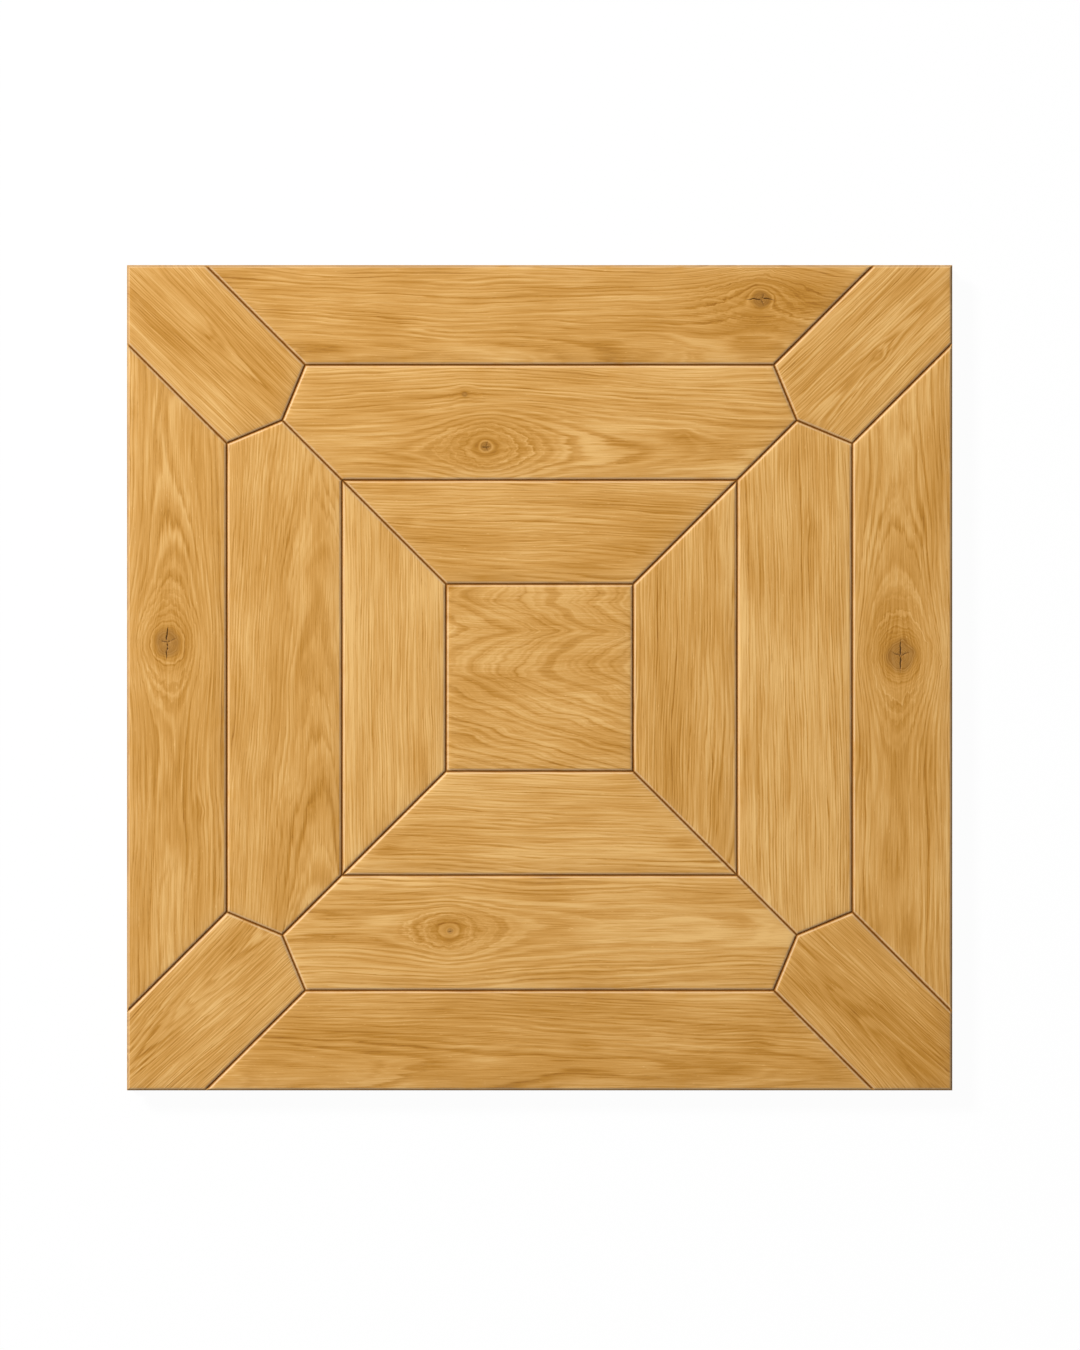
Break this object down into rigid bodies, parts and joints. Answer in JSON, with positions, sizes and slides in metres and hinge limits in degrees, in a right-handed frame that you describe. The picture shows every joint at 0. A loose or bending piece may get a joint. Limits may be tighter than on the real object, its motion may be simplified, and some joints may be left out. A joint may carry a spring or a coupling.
{
  "type": "parquet panel",
  "caption": "Square oak parquet panel of bevelled blocks: mitred staves in rings round a square centre, with a nosed block on each diagonal, grooved round the edge for loose tongues.",
  "frame": {"origin": "middle of the underside of the square panel", "axes": "+Z out of the walking face, +X and +Y along the panel's edges, towards the east and north blocks"},
  "size_m": [0.6, 0.6, 0.02],
  "materials": {
    "oak": "oiled, satin"
  },
  "bodies": {
    "root": {"centre_block": "oak", "inner_stave_north": "oak", "inner_stave_east": "oak", "inner_stave_south": "oak", "inner_stave_west": "oak", "middle_stave_north": "oak", "middle_stave_east": "oak", "middle_stave_south": "oak", "middle_stave_west": "oak", "outer_stave_north": "oak", "outer_stave_east": "oak", "outer_stave_south": "oak", "outer_stave_west": "oak", "corner_block_north_east": "oak", "corner_block_north_west": "oak", "corner_block_south_west": "oak", "corner_block_south_east": "oak"}
  },
  "joints": []
}
